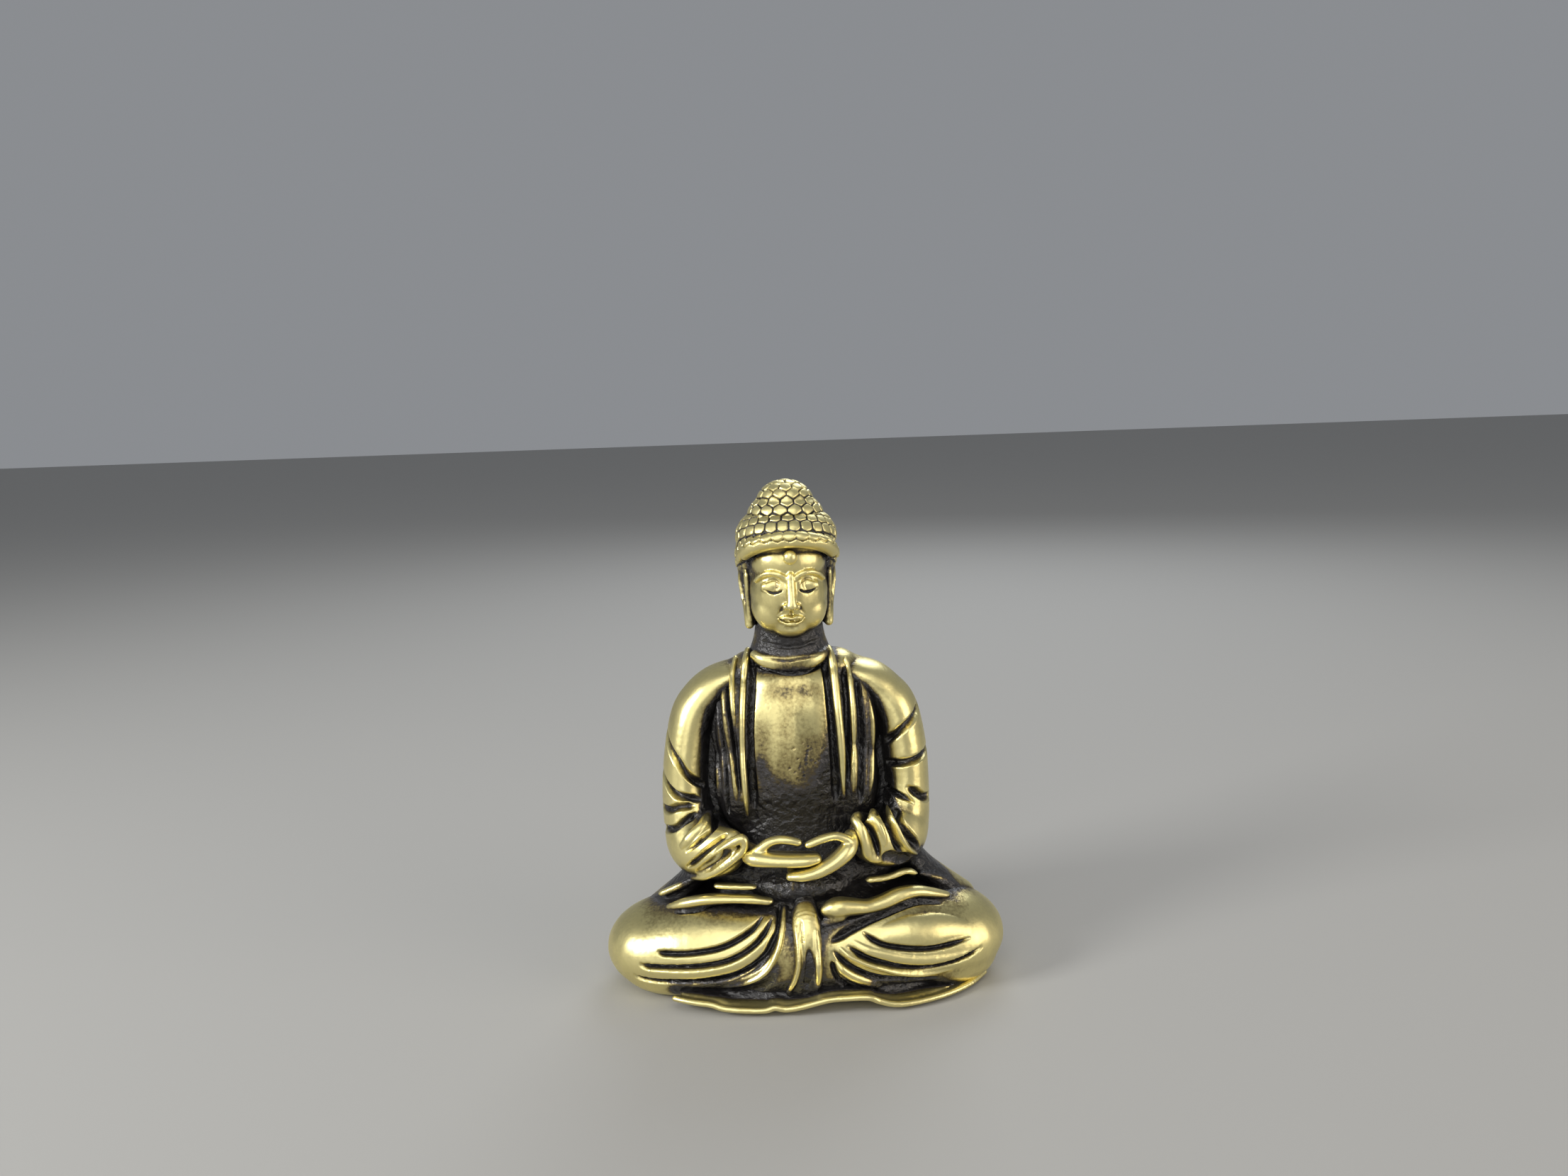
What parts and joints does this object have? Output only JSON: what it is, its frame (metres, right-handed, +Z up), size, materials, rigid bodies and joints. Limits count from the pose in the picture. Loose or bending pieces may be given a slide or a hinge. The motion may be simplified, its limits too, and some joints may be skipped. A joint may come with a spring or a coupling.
{
  "type": "seated buddha statue",
  "caption": "Small seated Buddha in antiqued brass: hands in the lap, open pleated robe, tightly curled hair and a flat underside.",
  "frame": {"origin": "centre of the flat underside, on the surface that the figure rests on", "axes": "+Z up to the crown, -Y the way the figure faces, +X to the figure's left"},
  "size_m": [0.035, 0.022, 0.044],
  "materials": {
    "rubbed_brass": "antiqued, rubbed back to satin bare brass on the high places",
    "aged_brass": "antiqued, mostly dark patina with bare edges"
  },
  "bodies": {
    "root": {"lap_base": "rubbed_brass", "robe_hem": "rubbed_brass", "front_pleats": "aged_brass", "right_foot": "rubbed_brass", "left_foot": "rubbed_brass", "torso": "aged_brass", "right_sleeve": "rubbed_brass", "left_sleeve": "rubbed_brass", "right_hand": "rubbed_brass", "left_hand": "rubbed_brass", "right_lapel": "rubbed_brass", "left_lapel": "rubbed_brass", "right_robe_fold": "aged_brass", "left_robe_fold": "aged_brass", "head": "rubbed_brass", "urna": "rubbed_brass", "right_ear": "aged_brass", "left_ear": "aged_brass", "hair_cap": "aged_brass", "ushnisha": "aged_brass"}
  },
  "joints": []
}
